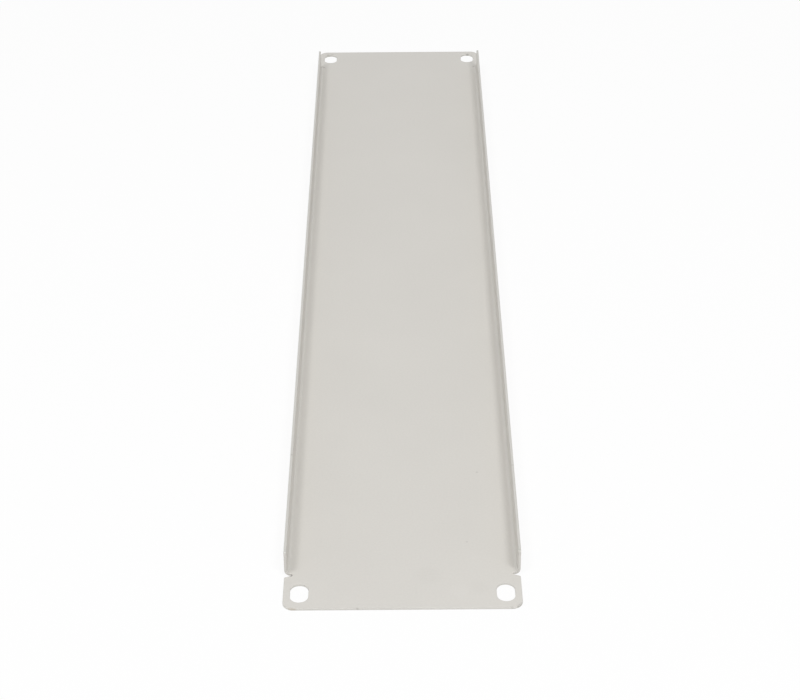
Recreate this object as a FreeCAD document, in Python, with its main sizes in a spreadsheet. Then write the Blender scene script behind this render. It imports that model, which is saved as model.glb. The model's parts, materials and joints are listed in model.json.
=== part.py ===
"""Rack blanking panel, two rack units high: one steel sheet folded back along both long edges.

Millimetres. +X runs across the rack, +Y up the rack, and +Z from the front face to the rear, the way that
both flanges point. The origin is the centre of the front face.

The model follows the folded sheet: a channel section gives the web, the bends and the flanges, an ear
continues the web past each end of the flanges, and a relief slit parts each ear from each bend.
"""

import FreeCAD, Part
import math
import os

import Sketcher

NODE = "blanking_panel"
SLOTS_EACH_WAY = 2
SLOT_COUNT = SLOTS_EACH_WAY**2

# Each driving size: alias, value in millimetres, meaning.
SIZES = [
    ("panel_length", 482.6, "end to end, the width of a 19 inch rack panel"),
    ("panel_height", 88.1, "two rack units, less the gap to the panels above and below"),
    ("sheet_thickness", 1.0, "steel sheet"),
    ("bend_radius", 1.4, "inside radius of both bends"),
    ("flange_depth", 11.0, "front face to the free edge of a flange"),
    ("flange_corner_radius", 0.5, "free corners of a flange"),
    ("ear_length", 20.0, "end of the panel to the flanges, which pass between the rack rails"),
    ("ear_corner_radius", 4.0, "outer corners of the panel"),
    ("relief_width", 1.0, "relief slit at its round inner end, which is centred on the bend's edge"),
    ("relief_mouth", 2.4, "relief slit where it opens, up to the straight edge of the ear"),
    ("relief_corner_radius", 0.5, "ear corner beside the slit"),
    ("slot_length", 10.3, "screw slot, along the panel"),
    ("slot_width", 6.8, "screw slot, across the panel"),
    ("slot_inset_end", 8.75, "end of the panel to the centre of a slot"),
    ("slot_inset_side", 5.95, "long edge of the panel to the centre of a slot"),
    ("edge_radius", 0.2, "sheared edges round the outline, softened by the coating"),
    ("slot_bevel", 0.15, "rims of the screw slots, softened by the coating"),
]

# Lengths that follow from the driving sizes.
FLANGE_LENGTH = "(sizes.panel_length - 2 * sizes.ear_length)"
SLOT_SPACING_ACROSS = "(sizes.panel_length - 2 * sizes.slot_inset_end)"
SLOT_SPACING_UP = "(sizes.panel_height - 2 * sizes.slot_inset_side)"

START, END, CENTRE = 1, 2, 3  # the points of a sketch element
ACROSS_AXIS = -1  # a sketch's own horizontal axis
ORIGIN = (ACROSS_AXIS, START)
SHARP_ANGLE = math.radians(45)  # faces that meet at more than this have a sheared edge between them


def make_sizes(document):
    """Spreadsheet of the driving sizes, one row each."""
    sheet = document.addObject("Spreadsheet::Sheet", "sizes")
    for row, (alias, value, meaning) in enumerate(SIZES, start=1):
        sheet.set(f"A{row}", meaning)
        sheet.set(f"B{row}", str(value))
        sheet.setAlias(f"B{row}", alias)
    document.recompute()
    return sheet


def origin_feature(body, role):
    """One of the body's own planes or axes."""
    return next(f for f in body.Origin.OriginFeatures if f.Role == role)


def new_sketch(body, name, role):
    """Empty sketch on one of the body's origin planes."""
    sketch = body.newObject("Sketcher::SketchObject", name)
    sketch.AttachmentSupport = [(origin_feature(body, role), "")]
    sketch.MapMode = "FlatFace"
    return sketch


def line(x1, y1, x2, y2):
    return Part.LineSegment(FreeCAD.Vector(x1, y1, 0), FreeCAD.Vector(x2, y2, 0))


def arc(x, y, radius, first_degrees, last_degrees):
    """Arc of a circle, anticlockwise from the first angle to the last."""
    circle = Part.Circle(FreeCAD.Vector(x, y, 0), FreeCAD.Vector(0, 0, 1), radius)
    return Part.ArcOfCircle(circle, math.radians(first_degrees), math.radians(last_degrees))


def add_loop(sketch, elements):
    """Closed outline of (geometry, joint): "smooth" or "sharp" is how it meets the next element.

    A hollow arc is walked backwards, from its end to its start, and is given as "hollow" after its joint.
    """
    first = sketch.GeometryCount
    walks = []
    for geometry, *words in elements:
        sketch.addGeometry(geometry)
        walks.append((END, START) if "hollow" in words else (START, END))
    for index, (_, joint, *_) in enumerate(elements):
        following = (index + 1) % len(elements)
        kind = "Tangent" if joint == "smooth" else "Coincident"
        leaves, enters = walks[index][1], walks[following][0]
        sketch.addConstraint(Sketcher.Constraint(kind, first + index, leaves, first + following, enters))


def constrain(sketch, kind, *places):
    sketch.addConstraint(Sketcher.Constraint(kind, *places))


def as_drawn(sketch, kind, places):
    """What a dimension measures on the outline as drawn, so that it starts out true."""
    if kind == "Radius":
        return sketch.Geometry[places[0]].Radius
    reach = sketch.getPoint(*places[2:]) - sketch.getPoint(*places[:2])
    return reach.x if kind == "DistanceX" else reach.y


def dimension(sketch, name, kind, places, expression):
    """Driving dimension, named, and bound to the spreadsheet."""
    drawn = as_drawn(sketch, kind, places)
    index = sketch.addConstraint(Sketcher.Constraint(kind, *places, drawn))
    sketch.renameConstraint(index, name)
    sketch.setExpression(f"Constraints.{name}", expression)


def draw_channel_section(body, size):
    """Section across the panel: web, two bends and two flanges, open towards the rear."""
    sketch = new_sketch(body, "channel_section", "YZ_Plane")
    side = size["panel_height"] / 2
    thick = size["sheet_thickness"]
    inner = size["bend_radius"]
    outer = inner + thick
    top = size["flange_depth"]
    tangent = side - outer  # where the flat web ends and a bend starts
    face = side - thick  # inner face of a flange
    add_loop(
        sketch,
        [
            (line(-tangent, 0, tangent, 0), "smooth"),
            (arc(tangent, outer, outer, 270, 360), "smooth"),
            (line(side, outer, side, top), "sharp"),
            (line(side, top, face, top), "sharp"),
            (line(face, top, face, outer), "smooth"),
            (arc(tangent, outer, inner, 270, 360), "smooth", "hollow"),
            (line(tangent, thick, -tangent, thick), "smooth"),
            (arc(-tangent, outer, inner, 180, 270), "smooth", "hollow"),
            (line(-face, outer, -face, top), "sharp"),
            (line(-face, top, -side, top), "sharp"),
            (line(-side, top, -side, outer), "smooth"),
            (arc(-tangent, outer, outer, 180, 270), "smooth"),
        ],
    )
    front, bend_out, leg_out, edge, leg_in, bend_in, floor = range(7)
    far_bend_in, far_leg_in, far_edge, far_leg_out, far_bend_out = range(7, 12)
    for level in (front, edge, floor, far_edge):
        constrain(sketch, "Horizontal", level)
    for upright in (leg_out, leg_in, far_leg_in, far_leg_out):
        constrain(sketch, "Vertical", upright)
    constrain(sketch, "Symmetric", front, START, front, END, *ORIGIN)
    constrain(sketch, "Coincident", bend_out, CENTRE, bend_in, CENTRE)
    constrain(sketch, "Coincident", far_bend_out, CENTRE, far_bend_in, CENTRE)
    constrain(sketch, "Equal", bend_in, far_bend_in)
    constrain(sketch, "Equal", leg_out, far_leg_out)
    dimension(sketch, "radius", "Radius", (bend_in,), "sizes.bend_radius")
    dimension(sketch, "thick", "DistanceY", (front, END, floor, START), "sizes.sheet_thickness")
    dimension(sketch, "width", "DistanceX", (far_leg_out, END, leg_out, START), "sizes.panel_height")
    dimension(sketch, "depth", "DistanceY", (*ORIGIN, leg_out, END), "sizes.flange_depth")
    return sketch


def draw_ear(body, size):
    """Outline of the ear past the +X end of the flanges, with half of each relief slit beside it."""
    sketch = new_sketch(body, "ear_outline", "XY_Plane")
    tip = size["panel_length"] / 2
    root = tip - size["ear_length"]
    side = size["panel_height"] / 2
    corner = size["ear_corner_radius"]
    step = size["relief_corner_radius"]
    slit = size["relief_width"] / 2
    slit_y = side - size["bend_radius"] - size["sheet_thickness"]
    mouth = root + size["relief_mouth"]
    add_loop(
        sketch,
        [
            (line(root, slit_y, root, -slit_y), "smooth"),
            (arc(root + slit, -slit_y, slit, 0, 180), "smooth", "hollow"),
            (line(root + 2 * slit, -slit_y, mouth - step, -side + step), "smooth"),
            (arc(mouth, -side + step, step, 180, 270), "smooth"),
            (line(mouth, -side, tip - corner, -side), "smooth"),
            (arc(tip - corner, -side + corner, corner, 270, 360), "smooth"),
            (line(tip, -side + corner, tip, side - corner), "smooth"),
            (arc(tip - corner, side - corner, corner, 0, 90), "smooth"),
            (line(tip - corner, side, mouth, side), "smooth"),
            (arc(mouth, side - step, step, 90, 180), "smooth"),
            (line(mouth - step, side - step, root + 2 * slit, slit_y), "smooth"),
            (arc(root + slit, slit_y, slit, 180, 360), "smooth", "hollow"),
        ],
    )
    joint, low_slit, _, low_step, low_edge, low_corner = range(6)
    end, top_corner, top_edge, top_step, _, top_slit = range(6, 12)
    constrain(sketch, "Horizontal", low_edge)
    constrain(sketch, "Horizontal", top_edge)
    constrain(sketch, "Symmetric", joint, START, joint, END, ACROSS_AXIS)
    constrain(sketch, "Symmetric", end, START, end, END, ACROSS_AXIS)
    constrain(sketch, "Equal", low_corner, top_corner)
    constrain(sketch, "Equal", low_step, top_step)
    constrain(sketch, "Equal", low_slit, top_slit)
    constrain(sketch, "Vertical", low_edge, START, top_edge, END)
    dimension(sketch, "corner", "Radius", (top_corner,), "sizes.ear_corner_radius")
    dimension(sketch, "step", "Radius", (top_step,), "sizes.relief_corner_radius")
    dimension(sketch, "slit", "Radius", (top_slit,), "sizes.relief_width / 2")
    dimension(sketch, "tip", "DistanceX", (*ORIGIN, end, START), "sizes.panel_length / 2")
    dimension(sketch, "length", "DistanceX", (joint, START, end, START), "sizes.ear_length")
    dimension(sketch, "side", "DistanceY", (*ORIGIN, top_edge, START), "sizes.panel_height / 2")
    dimension(sketch, "mouth", "DistanceX", (joint, START, top_edge, END), "sizes.relief_mouth")
    dimension(
        sketch,
        "bend",
        "DistanceY",
        (top_slit, CENTRE, top_edge, END),
        "sizes.bend_radius + sizes.sheet_thickness",
    )
    return sketch


def draw_slot(body, size):
    """Outline of the screw slot at the -X -Y corner, round at both ends."""
    sketch = new_sketch(body, "slot_outline", "XY_Plane")
    radius = size["slot_width"] / 2
    reach = (size["slot_length"] - size["slot_width"]) / 2  # slot centre to the centre of either end
    x = size["slot_inset_end"] - size["panel_length"] / 2
    y = size["slot_inset_side"] - size["panel_height"] / 2
    add_loop(
        sketch,
        [
            (line(x - reach, y - radius, x + reach, y - radius), "smooth"),
            (arc(x + reach, y, radius, 270, 450), "smooth"),
            (line(x + reach, y + radius, x - reach, y + radius), "smooth"),
            (arc(x - reach, y, radius, 90, 270), "smooth"),
        ],
    )
    low_side, near_end, _, far_end = range(4)
    centre = sketch.addGeometry(Part.Point(FreeCAD.Vector(x, y, 0)), True)
    constrain(sketch, "Horizontal", low_side)
    constrain(sketch, "Equal", near_end, far_end)
    constrain(sketch, "Symmetric", near_end, CENTRE, far_end, CENTRE, centre, START)
    dimension(sketch, "radius", "Radius", (near_end,), "sizes.slot_width / 2")
    dimension(
        sketch,
        "straight",
        "DistanceX",
        (far_end, CENTRE, near_end, CENTRE),
        "sizes.slot_length - sizes.slot_width",
    )
    dimension(sketch, "across", "DistanceX", (centre, START, *ORIGIN), f"{SLOT_SPACING_ACROSS} / 2")
    dimension(sketch, "up", "DistanceY", (centre, START, *ORIGIN), f"{SLOT_SPACING_UP} / 2")
    return sketch


def new_pad(body, name, sketch, expression, midplane=False):
    """Pad of the sketch, as long as the expression says."""
    pad = body.newObject("PartDesign::Pad", name)
    pad.Profile = sketch
    pad.Midplane = midplane
    pad.setExpression("Length", expression)
    return pad


def mirror(body, name, feature, role):
    """Mirror image of a feature across one of the body's origin planes."""
    mirrored = body.newObject("PartDesign::Mirrored", name)
    mirrored.Originals = [feature]
    mirrored.MirrorPlane = (origin_feature(body, role), [""])
    body.Tip = mirrored
    return mirrored


def cut_slots(body, sketch):
    """The four screw slots: one pocket, repeated along and across the panel."""
    pocket = body.newObject("PartDesign::Pocket", "screw_slot")
    pocket.Profile = sketch
    pocket.Type = "ThroughAll"
    pocket.Reversed = True  # the sheet lies on the +Z side of the sketch
    slots = body.newObject("PartDesign::MultiTransform", "screw_slots")
    slots.Originals = [pocket]
    patterns = []
    for name, role, expression in (
        ("slots_across", "X_Axis", SLOT_SPACING_ACROSS),
        ("slots_up", "Y_Axis", SLOT_SPACING_UP),
    ):
        pattern = body.newObject("PartDesign::LinearPattern", name)
        pattern.Direction = (origin_feature(body, role), [""])
        pattern.Occurrences = SLOTS_EACH_WAY
        pattern.setExpression("Length", expression)
        patterns.append(pattern)
    slots.Transformations = patterns
    body.Tip = slots
    return slots


def round_flange_corners(body, feature, size):
    """Rounds the four free corners of the flanges."""
    end = size["panel_length"] / 2 - size["ear_length"]
    top = size["flange_depth"]
    names = []
    for index, edge in enumerate(feature.Shape.Edges, start=1):
        box = edge.BoundBox
        at_end = math.isclose(abs(box.Center.x), end, abs_tol=1e-6) and box.XLength < 1e-6
        if at_end and math.isclose(box.ZMin, top, abs_tol=1e-6):
            names.append(f"Edge{index}")
    fillet = body.newObject("PartDesign::Fillet", "flange_corners")
    fillet.Base = (feature, names)
    fillet.setExpression("Radius", "sizes.flange_corner_radius")
    return fillet


def is_sharp(shape, edge):
    """Whether two faces of the shape meet at this edge with a clear angle between them."""
    middle = (edge.FirstParameter + edge.LastParameter) / 2
    point = edge.valueAt(middle)
    normals = [
        face.normalAt(*face.Surface.parameter(point)) for face in shape.ancestorsOfType(edge, Part.Face)
    ]
    return len(normals) == 2 and normals[0].getAngle(normals[1]) > SHARP_ANGLE


def is_rim(shape, edge):
    """Whether this edge runs round a hole in a face, as the rim of a screw slot does."""
    return any(
        edge.isSame(other)
        for face in shape.ancestorsOfType(edge, Part.Face)
        for wire in face.Wires
        if not wire.isSame(face.OuterWire)
        for other in wire.Edges
    )


def round_edges(body, feature):
    """Rounds every edge between the sheet's two sides and the sheared rim round its outline."""
    shape = feature.Shape
    names = [
        f"Edge{index}"
        for index, edge in enumerate(shape.Edges, start=1)
        if is_sharp(shape, edge) and not is_rim(shape, edge)
    ]
    fillet = body.newObject("PartDesign::Fillet", "rounded_edges")
    fillet.Base = (feature, names)
    fillet.setExpression("Radius", "sizes.edge_radius")
    return fillet


def bevel_slots(body, feature):
    """Bevels the rims of the screw slots, front and rear."""
    shape = feature.Shape
    names = [f"Edge{index}" for index, edge in enumerate(shape.Edges, start=1) if is_rim(shape, edge)]
    bevel = body.newObject("PartDesign::Chamfer", "bevelled_slots")
    bevel.Base = (feature, names)
    bevel.setExpression("Size", "sizes.slot_bevel")
    return bevel


def build_panel(document, sheet):
    """The folded sheet, as one PartDesign body."""
    size = {alias: sheet.get(alias) for alias, _, _ in SIZES}
    body = document.addObject("PartDesign::Body", NODE)
    body.Label = NODE
    section = draw_channel_section(body, size)
    new_pad(body, "channel", section, FLANGE_LENGTH, midplane=True)
    ear = new_pad(body, "ear", draw_ear(body, size), "sizes.sheet_thickness")
    mirror(body, "far_ear", ear, "YZ_Plane")
    slots = cut_slots(body, draw_slot(body, size))
    document.recompute()
    corners = round_flange_corners(body, slots, size)
    document.recompute()
    edges = round_edges(body, corners)
    document.recompute()
    bevel_slots(body, edges)
    body.Placement = FreeCAD.Placement()
    document.recompute()
    return body


def check(document, body, sheet):
    """Stops unless every object is built, every sketch is fully constrained, the slots are cut right
    through and the panel is one valid solid."""
    for item in document.Objects:
        if {"Invalid", "Error"} & set(item.State):
            raise RuntimeError(f"{item.Name} failed: {item.State}")
        if item.isDerivedFrom("Sketcher::SketchObject") and not item.FullyConstrained:
            raise RuntimeError(f"sketch {item.Name} isn't fully constrained")
    slot = Part.Face(document.getObject("slot_outline").Shape).Area * sheet.get("sheet_thickness")
    uncut, cut = (document.getObject(name).Shape.Volume for name in ("far_ear", "screw_slots"))
    if not math.isclose(uncut - cut, SLOT_COUNT * slot, rel_tol=1e-6):
        raise RuntimeError("the slots aren't cut right through")
    shape = body.Shape
    if shape.isNull() or not shape.isValid() or len(shape.Solids) != 1:
        raise RuntimeError(f"{body.Label} isn't one valid solid")


def main():
    document = FreeCAD.newDocument("rack_blanking_panel")
    sheet = make_sizes(document)
    body = build_panel(document, sheet)
    check(document, body, sheet)
    os.makedirs("parts", exist_ok=True)
    body.Shape.exportStep(f"parts/{body.Label}.step")
    box = body.Shape.optimalBoundingBox(False, False)
    print(f"{body.Label}: {box.XLength:.2f} x {box.YLength:.2f} x {box.ZLength:.2f} mm")
    print(f"volume {body.Shape.Volume:.1f} mm3, {len(body.Shape.Faces)} faces")


main()
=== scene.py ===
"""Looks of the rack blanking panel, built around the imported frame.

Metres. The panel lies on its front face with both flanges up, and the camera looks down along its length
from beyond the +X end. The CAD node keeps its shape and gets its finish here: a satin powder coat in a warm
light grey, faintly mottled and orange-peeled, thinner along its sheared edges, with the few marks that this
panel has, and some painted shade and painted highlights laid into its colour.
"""

import json
import math

import bpy
from mathutils import Matrix, Vector


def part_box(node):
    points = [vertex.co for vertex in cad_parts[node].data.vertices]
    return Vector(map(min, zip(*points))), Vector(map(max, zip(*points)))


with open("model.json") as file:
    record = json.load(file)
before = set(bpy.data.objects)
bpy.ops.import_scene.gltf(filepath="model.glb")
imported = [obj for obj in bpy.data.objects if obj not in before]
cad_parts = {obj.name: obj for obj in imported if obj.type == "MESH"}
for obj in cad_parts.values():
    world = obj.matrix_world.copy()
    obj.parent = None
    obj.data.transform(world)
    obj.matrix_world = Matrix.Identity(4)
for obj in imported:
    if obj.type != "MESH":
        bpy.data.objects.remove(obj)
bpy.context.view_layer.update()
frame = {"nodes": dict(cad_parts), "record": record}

# The panel, as packed. Lengths in the record are in millimetres.
MM = 0.001
NODE = "blanking_panel"
PANEL = frame["nodes"][NODE]
LOW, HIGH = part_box(NODE)
END_X, SIDE_Y, TOP_Z = HIGH
FLANGE_END_X = max(vertex.co.x for vertex in PANEL.data.vertices if vertex.co.z > TOP_Z / 2)
SLOTS = next(mount for mount in frame["record"]["mounts"] if mount["name"] == "rack_slots")
SLOT_X = SLOTS["dims"]["spacing_x_mm"] * MM / 2
SLOT_Y = SLOTS["dims"]["spacing_y_mm"] * MM / 2
SLOT_RADIUS = SLOTS["dims"]["hole_r_mm"] * MM
SLOT_REACH = SLOTS["dims"]["slot_length_mm"] * MM / 2  # from a slot's centre to either end
WEB_Z = SLOTS["pos_m"][2]  # the web's rear face, which is up as the panel lies
EDGE_Z = 0.6 * WEB_Z  # a little over half-way up a sheared edge

WHITE = (1.0, 1.0, 1.0)

# Camera: where it stands, and in degrees how far it looks down from level, its slight lean and its turn.
CAMERA_PLACE = Vector((0.8116, 0.0, 0.4821))
CAMERA_DOWN = 32.909
CAMERA_LEAN = 0.425
CAMERA_TURN = 0.028
LENS = 91.35  # millimetres, on a sensor 36 mm wide
SENSOR = 36.0
VIEW_NEAREST, VIEW_FURTHEST = 0.01, 50.0

# Light: a dim, even sky and round soft lamps, all as far from the panel's middle. Each lamp has its name, its
# bearing from the +X end and its height over the horizon in degrees, its width in metres and its watts.
SKY_LEVEL = 0.45
LAMP_DISTANCE = 2.0
LAMPS = (
    ("near_right", 30, 54, 0.5, 9.8),
    ("near_left", -45, 61, 0.5, 7.7),
    ("overhead", 0, 88, 0.8, 3.8),
    ("low_near_right", 45, 10, 0.7, 2.5),
    ("low_near_left", -45, 10, 0.7, 3.0),
)

# Floor: nearly white, and mostly plain white to the camera, which keeps only a faint shadow.
FLOOR_WIDTH = 12.0
FLOOR_DROP = 0.03 * MM
FLOOR_COLOUR = (0.96, 0.96, 0.96)
FLOOR_WHITE_SHARE = 0.88

# Noises of the coat: about how big their blotches are, their detail, and a shift that gives each a part of
# its own.
NOISES = {
    "cloud": (45 * MM, 3.0, 0.0),
    "grain": (0.9 * MM, 1.0, 1.7),
    "peel": (2.2 * MM, 1.0, 4.9),
    "dust": (0.35 * MM, 0.0, 6.1),
    "edge_break": (3 * MM, 2.0, 7.3),
    "sway": (0.9 * MM, 2.0, 3.1),
}
NOISE_MIDDLE = 0.5

# Coat: its colour, how far the mottling takes it either way, how much of that each noise has, its roughness
# at the lowest and highest of the clouds, and the heights of the orange peel and of the powder's own grain.
COAT_COLOUR = (0.67, 0.65, 0.61)
COAT_SPREAD = 0.06
CLOUD_SHARE = 0.5
GRAIN_SHARE = 0.5
LEAST_ROUGH, MOST_ROUGH = 0.40, 0.50
PEEL_HEIGHT = 0.03 * MM
DUST_HEIGHT = 0.008 * MM
COAT_IOR = 1.5

# Edges: the coat draws back from a sheared edge, where it is darker and rougher. Each kind of edge has how
# far in the wear stays full, how far in it has gone, and its strongest share. A noise then multiplies the
# share by something between the least and the most.
EDGE_COLOUR = (0.61, 0.60, 0.565)
EDGE_ROUGHER = 0.1
FREE_EDGE = (0.25 * MM, 0.8 * MM, 1.0)
CUT_EDGE = (0.1 * MM, 0.5 * MM, 0.4)
SLOT_RIM = (0.05 * MM, 0.5 * MM, 0.4)
LEAST_WORN, MOST_WORN = 0.55, 1.35
FLANGE_FOOT = 1 * MM  # how far over the web a flange's end starts to count as an edge

# Marks: the colours that the coat turns to, and the lengths that place them, in millimetres. Some marks are
# real grime and rust; others are painted shade and painted highlights.
# Darker coat: real grime on the web, edges and corner, and also painted shade on the far slots' walls and on
# the near right ear.
GRIME_AND_PAINTED_SHADE = (0.36, 0.35, 0.32)
# Painted shade: a near-black for the shade deep in the inner end of a slit.
PAINTED_SLIT_SHADE = (0.14, 0.135, 0.125)
RUST = (0.46, 0.40, 0.32)
# Painted highlight: a paler coat for a small highlight on the near right corner and a soft pale patch on the
# near right ear.
PAINTED_HIGHLIGHT = (0.76, 0.74, 0.71)
NEAR, RIGHT, LEFT = 1, 1, -1  # signs of the near end on X and of the two sides on Y
CORNER_ROUND = 4.0  # radius of the ears' corners
CORNER_INSET = 0.2  # from that outline to its marks
SLIT_WIDTH = 1.0  # of the slit beyond each flange's end
SLIT_REACH = 2.5  # of that slit, in from the side
MARK_CORE = 0.3  # share of a mark's reach over which it is even
WIDEST_SWAY = 1.0  # a mark's outline wanders by half its reach, and by no more than half of this
MARK_ROUGHER = 0.3


def add_node(tree, kind, inputs=(), **settings):
    """New node with its settings. Each input is a socket's name or place and a value; a value that is itself
    a socket is joined to it."""
    made = tree.nodes.new(kind)
    for name, value in settings.items():
        setattr(made, name, value)
    for socket, value in inputs:
        if isinstance(value, bpy.types.NodeSocket):
            tree.links.new(value, made.inputs[socket])
        else:
            made.inputs[socket].default_value = value
    return made


def rgba(colour):
    return (*colour, 1.0)


def new_tree(owner):
    """The owner's node tree, emptied."""
    owner.use_nodes = True
    owner.node_tree.nodes.clear()
    return owner.node_tree


def maths(tree, operation, *values, clamp=False):
    """Result of a Math node; each value is a number or a socket."""
    node = add_node(tree, "ShaderNodeMath", enumerate(values), operation=operation, use_clamp=clamp)
    return node.outputs[0]


def vector_maths(tree, operation, *values):
    """Result of a Vector Math node; each value is a vector or a socket."""
    return add_node(tree, "ShaderNodeVectorMath", enumerate(values), operation=operation).outputs[0]


def fade(tree, distance, full, none, peak):
    """Share that is the peak up to the distance full, and 0 from the distance none on."""
    inputs = [("Value", distance), ("From Min", full), ("From Max", none), ("To Min", peak), ("To Max", 0.0)]
    return add_node(tree, "ShaderNodeMapRange", inputs, interpolation_type="SMOOTHSTEP").outputs[0]


def mixed(tree, share, first, second):
    """Colour that is a share of the way from the first to the second."""
    inputs = [(0, share), (6, first), (7, second)]
    return add_node(tree, "ShaderNodeMix", inputs, data_type="RGBA").outputs[2]


def noise(tree, place, name):
    """One of the coat's noises, as its node."""
    size, detail, shift = NOISES[name]
    moved = vector_maths(tree, "ADD", place, (shift,) * 3)
    return add_node(tree, "ShaderNodeTexNoise", [("Vector", moved), ("Scale", 1 / size), ("Detail", detail)])


def seen_plainly(tree):
    """1 for a ray from the camera, from a reflection or through glass, and 0 for a ray that gathers light."""
    path = add_node(tree, "ShaderNodeLightPath")
    seen = path.outputs["Is Camera Ray"]
    for name in ("Is Glossy Ray", "Is Transmission Ray"):
        seen = maths(tree, "ADD", seen, path.outputs[name], clamp=True)
    return seen


def make_camera():
    """Camera beyond the near end, looking down along the panel."""
    data = bpy.data.cameras.new("camera")
    data.sensor_width = SENSOR
    data.lens = LENS
    data.clip_start = VIEW_NEAREST
    data.clip_end = VIEW_FURTHEST
    camera = bpy.data.objects.new("camera", data)
    bpy.context.scene.collection.objects.link(camera)
    turn = (
        Matrix.Rotation(math.radians(90 + CAMERA_TURN), 4, "Z")
        @ Matrix.Rotation(math.radians(90 - CAMERA_DOWN), 4, "X")
        @ Matrix.Rotation(math.radians(-CAMERA_LEAN), 4, "Z")
    )
    camera.matrix_world = Matrix.Translation(CAMERA_PLACE) @ turn
    bpy.context.scene.camera = camera


def make_sky():
    """Dim, even light from all round, which reads as plain white where it is seen."""
    world = bpy.data.worlds.new("sky")
    bpy.context.scene.world = world
    tree = new_tree(world)
    light = add_node(tree, "ShaderNodeBackground", [("Color", rgba(WHITE)), ("Strength", SKY_LEVEL)])
    white = add_node(tree, "ShaderNodeBackground", [("Color", rgba(WHITE)), ("Strength", 1.0)])
    inputs = [(0, seen_plainly(tree)), (1, light.outputs[0]), (2, white.outputs[0])]
    mix = add_node(tree, "ShaderNodeMixShader", inputs)
    add_node(tree, "ShaderNodeOutputWorld", [("Surface", mix.outputs[0])])


def make_lamps():
    """Round soft lamps, each turned to face the middle of the panel."""
    for name, bearing, height, width, power in LAMPS:
        data = bpy.data.lights.new(name, "AREA")
        data.shape = "DISK"
        data.size = width
        data.energy = power
        lamp = bpy.data.objects.new(name, data)
        bpy.context.scene.collection.objects.link(lamp)
        level = LAMP_DISTANCE * math.cos(math.radians(height))
        lamp.location = (
            level * math.cos(math.radians(bearing)),
            level * math.sin(math.radians(bearing)),
            LAMP_DISTANCE * math.sin(math.radians(height)),
        )
        lamp.rotation_mode = "QUATERNION"
        lamp.rotation_quaternion = (-lamp.location).to_track_quat("-Z", "Y")


def make_floor():
    """Flat floor just under the panel, which is staging and not part of it."""
    half = FLOOR_WIDTH / 2
    mesh = bpy.data.meshes.new("floor")
    corners = [(-half, -half, 0), (half, -half, 0), (half, half, 0), (-half, half, 0)]
    mesh.from_pydata(corners, [], [(0, 1, 2, 3)])
    floor = bpy.data.objects.new("floor", mesh)
    bpy.context.scene.collection.objects.link(floor)
    floor.location.z = LOW.z - FLOOR_DROP
    material = bpy.data.materials.new("floor")
    tree = new_tree(material)
    lit = add_node(tree, "ShaderNodeBsdfDiffuse", [("Color", rgba(FLOOR_COLOUR))])
    white = add_node(tree, "ShaderNodeEmission", [("Color", rgba(WHITE)), ("Strength", 1.0)])
    share = maths(tree, "MULTIPLY", seen_plainly(tree), FLOOR_WHITE_SHARE)
    mix = add_node(tree, "ShaderNodeMixShader", [(0, share), (1, lit.outputs[0]), (2, white.outputs[0])])
    add_node(tree, "ShaderNodeOutputMaterial", [("Surface", mix.outputs[0])])
    mesh.materials.append(material)


def slot_distance(tree, across, up):
    """How far outside the rim of the nearest slot a place is, by its distances from the panel's middle."""
    along = maths(tree, "ABSOLUTE", maths(tree, "SUBTRACT", across, SLOT_X))
    past_straight = maths(tree, "MAXIMUM", maths(tree, "SUBTRACT", along, SLOT_REACH - SLOT_RADIUS), 0.0)
    beside = maths(tree, "SUBTRACT", up, SLOT_Y)
    squares = [maths(tree, "POWER", side, 2.0) for side in (past_straight, beside)]
    return maths(tree, "SUBTRACT", maths(tree, "SQRT", maths(tree, "ADD", *squares)), SLOT_RADIUS)


def edge_wear(tree, place):
    """Share of the thinned coat: along the flanges' free edges, and less at their ends, the panel's outline
    and the rims of the slots. The noise breaks it up along each edge."""
    parts = add_node(tree, "ShaderNodeSeparateXYZ", [(0, place)])
    across, up = (maths(tree, "ABSOLUTE", parts.outputs[axis]) for axis in (0, 1))
    height = parts.outputs[2]
    on_ear = maths(tree, "GREATER_THAN", across, FLANGE_END_X)
    on_flange = maths(tree, "GREATER_THAN", height, WEB_Z + FLANGE_FOOT)
    from_flange_end = maths(tree, "ABSOLUTE", maths(tree, "SUBTRACT", across, FLANGE_END_X))

    wear = fade(tree, maths(tree, "SUBTRACT", TOP_Z, height), *FREE_EDGE)
    panel_end = fade(tree, maths(tree, "SUBTRACT", END_X, across), *CUT_EDGE)
    ear_side = fade(tree, maths(tree, "SUBTRACT", SIDE_Y, up), *CUT_EDGE)
    flange_end = fade(tree, from_flange_end, *CUT_EDGE)
    slot_rim = fade(tree, slot_distance(tree, across, up), *SLOT_RIM)
    ear_side = maths(tree, "MULTIPLY", on_ear, ear_side)
    flange_end = maths(tree, "MULTIPLY", on_flange, flange_end)
    for share in (panel_end, ear_side, flange_end, slot_rim):
        wear = maths(tree, "MAXIMUM", wear, share)

    breaks = noise(tree, place, "edge_break").outputs["Fac"]
    breaks = maths(tree, "ADD", LEAST_WORN, maths(tree, "MULTIPLY", breaks, MOST_WORN - LEAST_WORN))
    return maths(tree, "MULTIPLY", wear, breaks)


def inset(end, from_end, side, from_side, height):
    """Place set in from an end and a side of the panel, by distances in millimetres."""
    return Vector((end * (END_X - from_end * MM), side * (SIDE_Y - from_side * MM), height))


def on_flange_edge(from_end, side):
    """Place in the middle of a flange's free edge, so many millimetres from the near end."""
    return Vector((END_X - from_end * MM, side * (SIDE_Y - WEB_Z / 2), TOP_Z))


def on_corner(degrees, height):
    """Place just inside the near ear's rounded right corner; 0 degrees points straight to the near end."""
    turn = math.radians(degrees)
    out = CORNER_ROUND - CORNER_INSET
    from_end, from_side = (CORNER_ROUND - out * share for share in (math.cos(turn), math.sin(turn)))
    return inset(NEAR, from_end, RIGHT, from_side, height)


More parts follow.
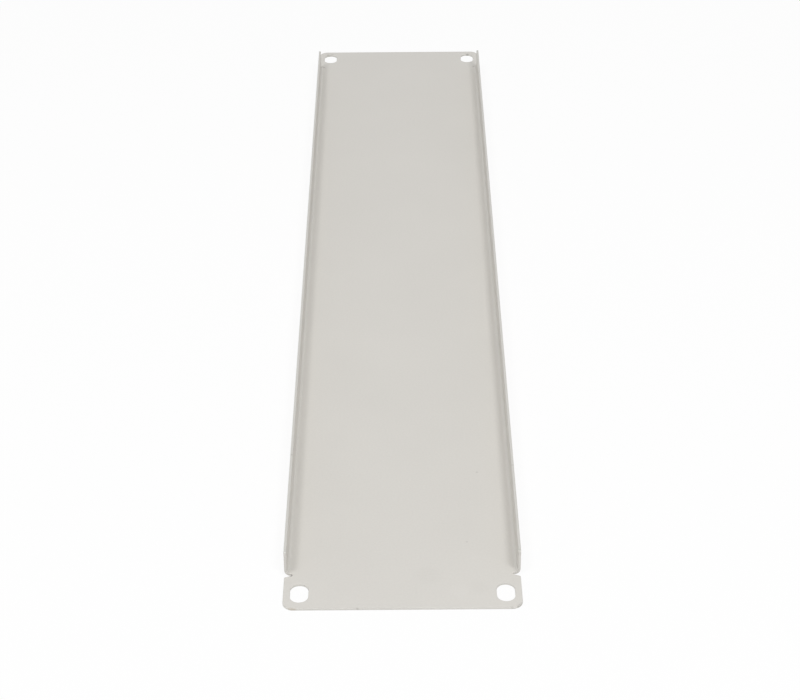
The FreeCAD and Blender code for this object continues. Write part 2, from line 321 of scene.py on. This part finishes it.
def at_far_slot(side, outwards, beyond, height):
    """Place by the outer end of a far slot: millimetres outwards from its centre line, and beyond its end."""
    return Vector((-SLOT_X - SLOT_REACH - beyond * MM, side * (SLOT_Y + outwards * MM), height))


def in_slit(side):
    """Place at the inner end of a near slit."""
    return Vector((FLANGE_END_X + SLIT_WIDTH * MM, side * (SIDE_Y - SLIT_REACH * MM), WEB_Z))


def marks():
    """Every mark: where it lies, its reach in millimetres, how strongly it shows, and its colour. Besides
    grime and rust, some are painted shade and painted highlights.
    """
    return (
        (inset(NEAR, 83, RIGHT, 14, WEB_Z), 0.75, 0.30, GRIME_AND_PAINTED_SHADE),
        (inset(NEAR, 38.5, RIGHT, 19.5, WEB_Z), 0.6, 0.28, GRIME_AND_PAINTED_SHADE),
        (on_flange_edge(82, LEFT), 0.8, 0.30, GRIME_AND_PAINTED_SHADE),
        (on_flange_edge(74, RIGHT), 0.8, 0.30, GRIME_AND_PAINTED_SHADE),
        (on_flange_edge(21, RIGHT), 0.8, 0.30, GRIME_AND_PAINTED_SHADE),
        (inset(NEAR, 0, LEFT, 27.5, EDGE_Z), 0.8, 0.40, GRIME_AND_PAINTED_SHADE),
        (inset(NEAR, 0, LEFT, 2.5, EDGE_Z), 0.9, 0.45, RUST),
        (inset(NEAR, 0, LEFT, 3.5, EDGE_Z), 0.9, 0.55, RUST),
        (inset(NEAR, 0, LEFT, 4.5, EDGE_Z), 0.8, 0.45, RUST),
        (on_corner(65, EDGE_Z), 0.8, 0.35, GRIME_AND_PAINTED_SHADE),
        (on_corner(50, EDGE_Z), 0.9, 0.55, GRIME_AND_PAINTED_SHADE),
        (on_corner(35, EDGE_Z), 0.9, 0.50, GRIME_AND_PAINTED_SHADE),
        (on_corner(0, EDGE_Z), 0.8, 0.25, GRIME_AND_PAINTED_SHADE),
        # Painted shade: a dark spot at the inner end of the left slit, where light does not reach.
        (in_slit(LEFT), 0.8, 1.0, PAINTED_SLIT_SHADE),
        (at_far_slot(LEFT, 1.5, 2, WEB_Z), 1.5, 0.12, GRIME_AND_PAINTED_SHADE),
        # Painted shade: these three darken the far walls of the far slots, deep in the holes.
        (at_far_slot(LEFT, 1.5, 0, EDGE_Z), 1.5, 0.35, GRIME_AND_PAINTED_SHADE),
        (at_far_slot(LEFT, -0.5, 0, EDGE_Z), 1.8, 0.25, GRIME_AND_PAINTED_SHADE),
        (at_far_slot(RIGHT, 0.5, 0, EDGE_Z), 1.3, 0.70, GRIME_AND_PAINTED_SHADE),
        # Painted highlight: a small pale spot on the near right corner's rounding.
        (on_corner(12, WEB_Z), 0.5, 0.60, PAINTED_HIGHLIGHT),
        # Painted shade and painted highlight: two broad faint dark patches and a pale one on the near right
        # ear, for the light and shade of the sheet's slight waviness.
        (inset(NEAR, 18.5, RIGHT, 34.5, WEB_Z), 7.0, 0.04, GRIME_AND_PAINTED_SHADE),
        (inset(NEAR, 11.5, RIGHT, 15.5, WEB_Z), 5.0, 0.04, GRIME_AND_PAINTED_SHADE),
        (inset(NEAR, 9.5, RIGHT, 23.5, WEB_Z), 5.0, 0.10, PAINTED_HIGHLIGHT),
    )


def add_marks(tree, place, colour):
    """The colour with every mark laid over it, painted shade and painted highlights among them, and the share
    of marked coat.
    """
    sway = noise(tree, place, "sway").outputs["Color"]
    sway = vector_maths(tree, "SUBTRACT", sway, (NOISE_MIDDLE,) * 3)
    marked = 0.0
    for centre, reach, strength, tone in marks():
        inputs = [(0, sway), ("Scale", min(reach, WIDEST_SWAY) * MM)]
        swing = add_node(tree, "ShaderNodeVectorMath", inputs, operation="SCALE").outputs[0]
        inputs = [(0, vector_maths(tree, "ADD", place, swing)), (1, centre)]
        distance = add_node(tree, "ShaderNodeVectorMath", inputs, operation="DISTANCE").outputs["Value"]
        share = fade(tree, distance, MARK_CORE * reach * MM, reach * MM, strength)
        colour = mixed(tree, share, colour, rgba(tone))
        marked = maths(tree, "MAXIMUM", marked, share)
    return colour, marked


def powder_coat():
    """Satin powder coat in a warm light grey."""
    material = bpy.data.materials.new("powder_coat_finish")
    tree = new_tree(material)
    place = add_node(tree, "ShaderNodeTexCoord").outputs["Object"]
    cloud, grain, peel, dust = (
        noise(tree, place, name).outputs["Fac"] for name in ("cloud", "grain", "peel", "dust")
    )

    clouded = maths(tree, "MULTIPLY", cloud, CLOUD_SHARE)
    mottling = maths(tree, "ADD", clouded, maths(tree, "MULTIPLY", grain, GRAIN_SHARE))
    dark, pale = (rgba([part * (1 + sign * COAT_SPREAD) for part in COAT_COLOUR]) for sign in (-1, 1))
    wear = edge_wear(tree, place)
    colour = mixed(tree, wear, mixed(tree, mottling, dark, pale), rgba(EDGE_COLOUR))
    colour, marked = add_marks(tree, place, colour)

    rough = maths(tree, "ADD", LEAST_ROUGH, maths(tree, "MULTIPLY", cloud, MOST_ROUGH - LEAST_ROUGH))
    for share, gain in ((wear, EDGE_ROUGHER), (marked, MARK_ROUGHER)):
        rough = maths(tree, "ADD", rough, maths(tree, "MULTIPLY", share, gain))

    orange_peel = add_node(tree, "ShaderNodeBump", [("Height", peel), ("Distance", PEEL_HEIGHT)])
    inputs = [("Height", dust), ("Distance", DUST_HEIGHT), ("Normal", orange_peel.outputs[0])]
    bump = add_node(tree, "ShaderNodeBump", inputs)
    inputs = [("Base Color", colour), ("Roughness", rough), ("Normal", bump.outputs[0]), ("IOR", COAT_IOR)]
    skin = add_node(tree, "ShaderNodeBsdfPrincipled", inputs)
    add_node(tree, "ShaderNodeOutputMaterial", [("Surface", skin.outputs[0])])
    return material


def main():
    bpy.context.scene.view_settings.view_transform = "Standard"
    make_camera()
    make_sky()
    make_lamps()
    make_floor()
    PANEL.material_slots[0].material = powder_coat()


main()
